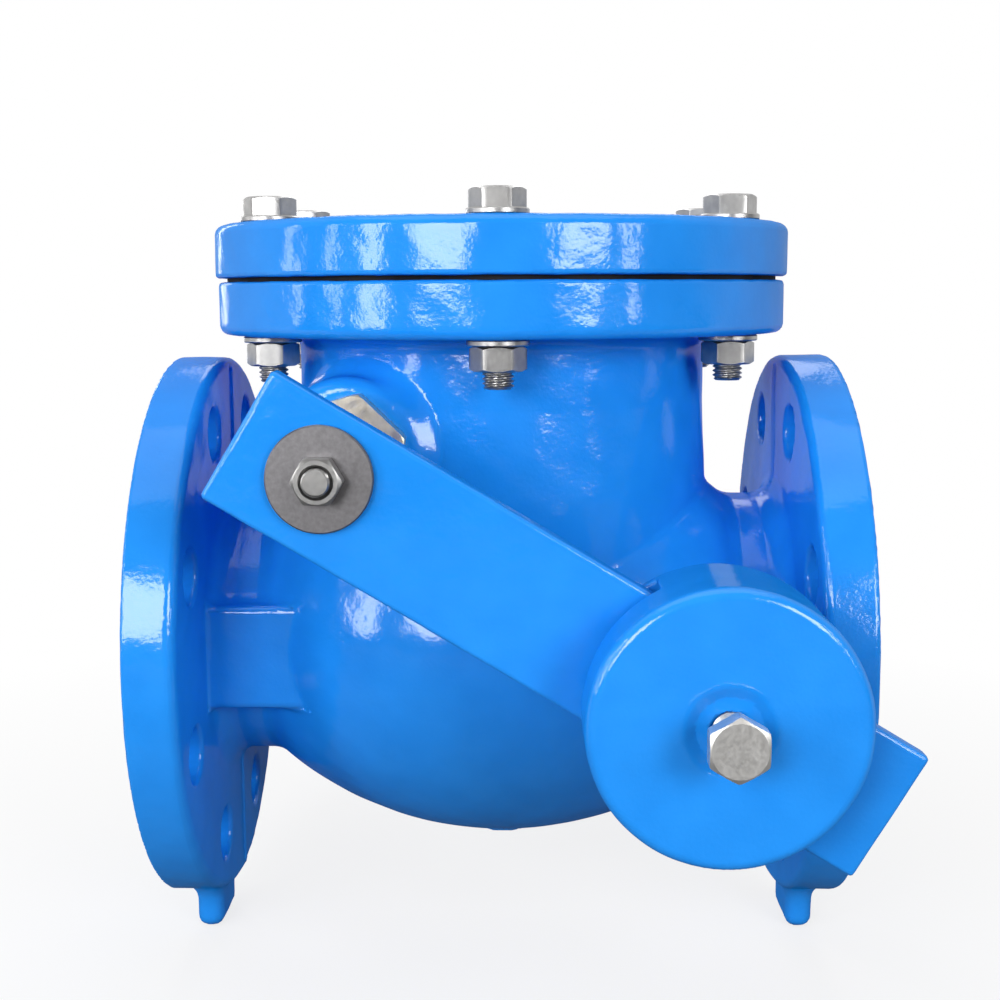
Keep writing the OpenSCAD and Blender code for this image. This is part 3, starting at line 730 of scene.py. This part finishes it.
finish_piece(ring_piece("hex_nuts", nut_parts), "valve", ["cover_nuts"], STEEL)
finish_piece(ring_piece("flat_washers", washer_parts), "valve", ["cover_washers"], STEEL)

# Shaft fittings
gland_end = BOSS_OUT - GLAND_DEPTH
gland_face = BOSS_OUT + GLAND_H
gland_hole = SHAFT_R + FACE_GAP
gland = ([ring(gland_hole, gland_end), ring(GLAND_R - FIT_GAP, gland_end), ring(GLAND_R - FIT_GAP, BOSS_OUT)]
         + hex_rings(GLAND_AF, BOSS_OUT, gland_face, flat=GLAND_FLAT)
         + [ring(gland_hole + GLAND_LIP, gland_face), ring(gland_hole, gland_face - GLAND_LIP)])
gland_place = AT_HINGE @ Matrix.Rotation(GLAND_TURN, 4, "Z")
finish_piece(ring_piece("gland_hexagon", [(placed(gland, gland_place), True)]),
             "valve", ["gland_nut"], BRASS)
plug_face = BOSS_OUT + PLUG_GASKET_T
plug = ([ring(GLAND_R - FIT_GAP, gland_end), ring(GLAND_R - FIT_GAP, plug_face)]
        + hex_rings(GLAND_AF, plug_face, plug_face + GLAND_H))
finish_piece(ring_piece("plug_hexagon", [(placed(plug, BEHIND_HINGE), False)]),
             "valve", ["rear_plug"], BRASS)

washer_face = LEVER_FACE + LEVER_WASHER_T
nut_face = washer_face + LEVER_NUT_H
stud_hole = STUD_R + THREAD_SLACK
stud_end = -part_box("hinge_shaft")[0][1] / MM
rear_end = -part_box("hinge_shaft")[1][1] / MM
wide_washer = placed(washer_rings(LEVER_WASHER_R, stud_hole, LEVER_FACE, washer_face), AT_HINGE)
finish_piece(ring_piece("wide_washer", [(wide_washer, True)]),
             "clapper", ["lever_washer"], WASHER)
stud_nut = placed(nut_rings(LEVER_NUT_AF, washer_face, nut_face, stud_hole), AT_HINGE)
finish_piece(ring_piece("stud_nut", [(stud_nut, True)]), "clapper", ["lever_nut"], STEEL)
collar = LEVER_BACK - COLLAR_T
shaft = ([ring(SHAFT_R - 1, rear_end), ring(SHAFT_R, rear_end + 1), ring(SHAFT_R, collar),
          ring(COLLAR_R - COLLAR_EDGE, collar), ring(COLLAR_R, collar + COLLAR_EDGE),
          ring(COLLAR_R, LEVER_BACK), ring(STUD_R, LEVER_BACK)]
         + thread_rings(STUD_R, STUD_PITCH, stud_end, washer_face - 1, STUD_CHAMFER)[::-1])
square = ON_LEVER @ Matrix.Translation((0, 0, LEVER_BACK))
half = SQUARE_HALF - FIT_GAP
lean = np.mod(TURN + math.pi / 4, math.pi / 2) - math.pi / 4
square_r = np.minimum(half / np.cos(lean), half * SQUARE_CORNER)
key_square = [ring(square_r, 0), ring(square_r, LEVER_FACE - LEVER_BACK)]
turned_parts = [(placed(shaft, AT_HINGE), False), (placed(key_square, square), False)]
finish_piece(ring_piece("turned_shaft", turned_parts), "clapper", ["hinge_shaft"], STEEL)

# Clamp bolt of the weight
clamp_head = WEIGHT_FACE - DISH_DEPTH + CLAMP_OUT
clamp = (thread_rings(CLAMP_R, COVER_PITCH, LEVER_FACE + FACE_GAP, clamp_head - FACE_GAP, BOLT_CHAMFER)
         + [ring(CLAMP_R, clamp_head)] + hex_rings(CLAMP_AF, clamp_head, clamp_head + CLAMP_HEAD_H, False))
weight_centre = Matrix.Translation((WEIGHT_REACH, WEIGHT_RISE, 0))
on_weight = ON_LEVER @ weight_centre @ Matrix.Rotation(CLAMP_TURN, 4, "Z")
finish_piece(ring_piece("clamp_screw", [(placed(clamp, on_weight), False)]),
             "weight", ["clamp_bolt"], BRIGHT_STEEL)

# CAD pieces that keep their shape
SKINS = {"stainless": STEEL, "brass": BRASS, "bronze": BRONZE, "gasket": FIBRE, "seal_rubber": RUBBER,
         "epoxy_blue": PAINT}
for part in frame["record"]["subparts"]:
    piece = frame["nodes"][part["node"]]
    piece.data.materials.clear()
    piece.data.materials.append(SKINS[part["material_slot"]])

# Stage, in metres, with the floor's whiteness and its painted shade in reflections as shares
FLOOR_HALF = 6.0
FLOOR_FRONT = -3.0
FLOOR_WHITE = 0.78
FLOOR_SHADE = 0.92
FLOOR_FADE = (-0.26, -0.09)
FLOOR_WHITE_REACH = (0.15, 0.5)
FLOOR_SHADE_REACH = (0.2, 0.8)
FLOOR_BOUNCE = (0.20, 0.20, 0.20)
FLOOR_PALE = (0.88, 0.88, 0.88)
FLOOR_DROP = 0.0005
floor_mesh = bpy.data.meshes.new("floor")
floor_z = FOOT_Z * MM - FLOOR_DROP
floor_corners = ((-FLOOR_HALF, FLOOR_FRONT), (FLOOR_HALF, FLOOR_FRONT),
                 (FLOOR_HALF, FLOOR_HALF), (-FLOOR_HALF, FLOOR_HALF))
floor_mesh.from_pydata([(x, y, floor_z) for x, y in floor_corners], [], [(0, 1, 2, 3)])
floor = bpy.data.objects.new("floor", floor_mesh)
scene.collection.objects.link(floor)


def mirrored(tree):
    """One for rays that come by reflection or transmission."""
    path = node(tree, "ShaderNodeLightPath").outputs
    return joined(tree, "MAXIMUM", path["Is Glossy Ray"], path["Is Transmission Ray"])


def seen(tree):
    """One for rays that show the background: from the camera, or by reflection or transmission."""
    path = node(tree, "ShaderNodeLightPath").outputs
    return joined(tree, "MAXIMUM", path["Is Camera Ray"], mirrored(tree))


def floor_material():
    """White floor that keeps the shadow; in its reflections only, it has painted shade near the object and
    is darker in front.
    """
    made = bpy.data.materials.new("white_floor")
    made.use_nodes = True
    tree = made.node_tree
    tree.nodes.clear()
    place = node(tree, "ShaderNodeTexCoord").outputs["Object"]
    away = node(tree, "ShaderNodeVectorMath", operation="DISTANCE")
    tree.links.new(place, away.inputs[0])
    away.inputs[1].default_value = (MID_X * MM, 0, floor_z)
    depth = node(tree, "ShaderNodeSeparateXYZ", Vector=place).outputs["Y"]
    far = away.outputs["Value"]
    # Painted shade: in reflections the floor is shown darker near the object, and dark in front
    painted_lit_share = joined(tree, "SUBTRACT", 1.0, spread(tree, far, FLOOR_SHADE, 0, *FLOOR_SHADE_REACH))
    painted_lit_share = joined(tree, "MULTIPLY", painted_lit_share, spread(tree, depth, 0, 1, *FLOOR_FADE))
    camera_ray = node(tree, "ShaderNodeLightPath").outputs["Is Camera Ray"]
    shown = joined(tree, "MAXIMUM", camera_ray, joined(tree, "MULTIPLY", mirrored(tree), painted_lit_share))
    white = joined(tree, "MULTIPLY", spread(tree, far, FLOOR_WHITE, 1, *FLOOR_WHITE_REACH), shown)
    colour = blend_colour(tree, shown, FLOOR_BOUNCE, FLOOR_PALE)
    matte = node(tree, "ShaderNodeBsdfDiffuse", Color=colour)
    glow = node(tree, "ShaderNodeEmission", Strength=1.0)
    mix = node(tree, "ShaderNodeMixShader", Fac=white)
    tree.links.new(matte.outputs[0], mix.inputs[1])
    tree.links.new(glow.outputs[0], mix.inputs[2])
    node(tree, "ShaderNodeOutputMaterial", Surface=mix.outputs[0])
    return made


floor.data.materials.append(floor_material())

world = bpy.data.worlds.new("studio")
scene.world = world
world.use_nodes = True
tree = world.node_tree
background = tree.nodes["Background"]
background.inputs["Color"].default_value = (1, 1, 1, 1)

# The world as light, and as reflections show it: a dim room in front and white behind
AMBIENT = 0.125
ROOM = 0.22
ROOM_TO_WHITE = (-0.25, 0.35)
towards = node(tree, "ShaderNodeSeparateXYZ", Vector=node(tree, "ShaderNodeTexCoord").outputs["Generated"])
backdrop = spread(tree, towards.outputs["Y"], ROOM, 1.0, *ROOM_TO_WHITE)
shown = joined(tree, "MULTIPLY", seen(tree), backdrop)
rays = node(tree, "ShaderNodeLightPath")
shown = joined(tree, "MAXIMUM", shown, rays.outputs["Is Camera Ray"])
unseen = joined(tree, "SUBTRACT", 1.0, seen(tree))
level = joined(tree, "ADD", shown, joined(tree, "MULTIPLY", unseen, AMBIENT))
tree.links.new(level, background.inputs["Strength"])


def softbox(name, place, aim, width, height, watts):
    """Rectangular lamp that faces a point."""
    lamp = bpy.data.lights.new(name, "AREA")
    lamp.shape = "RECTANGLE"
    lamp.size, lamp.size_y, lamp.energy = width, height, watts
    made = bpy.data.objects.new(name, lamp)
    made.location = place
    made.rotation_euler = (Vector(aim) - Vector(place)).to_track_quat("-Z", "Y").to_euler()
    scene.collection.objects.link(made)


CENTRE = (MID_X * MM, 0, 0.04)
WINDOW_AWAY = 1.35
WINDOW_Z = 0.36
# Bearing in degrees, width and height in metres, and watts
WINDOWS = {
    "front_left": (-21, 0.46, 0.50, 8.5),
    "left": (-48, 0.20, 0.70, 4.6),
    "far_left": (-64, 0.10, 0.60, 1.4),
    "side_left": (-83, 0.12, 0.60, 1.6),
    "front_right": (30, 0.42, 0.45, 7.2),
    "right": (49, 0.10, 0.55, 1.8),
    "rear_left": (-144, 0.14, 0.60, 3.0),
}
for name, (bearing, width, height, watts) in WINDOWS.items():
    turn = math.radians(bearing)
    place = (CENTRE[0] + WINDOW_AWAY * math.sin(turn), -WINDOW_AWAY * math.cos(turn), WINDOW_Z)
    softbox(name + "_window", place, CENTRE, width, height, watts)
softbox("top_light", (0.12, -0.25, 1.2), CENTRE, width=1.4, height=0.9, watts=4.2)
softbox("back_light", (0.12, 1.1, 0.9), CENTRE, width=0.8, height=0.5, watts=6.0)

# Camera fitted to the photograph
CAMERA_PLACE = (0.12765, -0.56162, 0.12392)
CAMERA_FORWARD = Vector((-0.01416, 0.9904, -0.1378))
CAMERA_ROLL_RIGHT = Vector((0.9999, 0.0137, -0.0046))
FOCAL_PX = 1499.09
FRAME_PX = 1000
SENSOR = 36.0
lens = bpy.data.cameras.new("camera")
lens.sensor_width = SENSOR
lens.lens = SENSOR * FOCAL_PX / FRAME_PX
camera = bpy.data.objects.new("camera", lens)
back = -CAMERA_FORWARD.normalized()
right = (CAMERA_ROLL_RIGHT - CAMERA_ROLL_RIGHT.dot(back) * back).normalized()
camera.matrix_world = columns(right, back.cross(right), back, CAMERA_PLACE)
scene.collection.objects.link(camera)
scene.camera = camera
scene.view_settings.view_transform = "Standard"
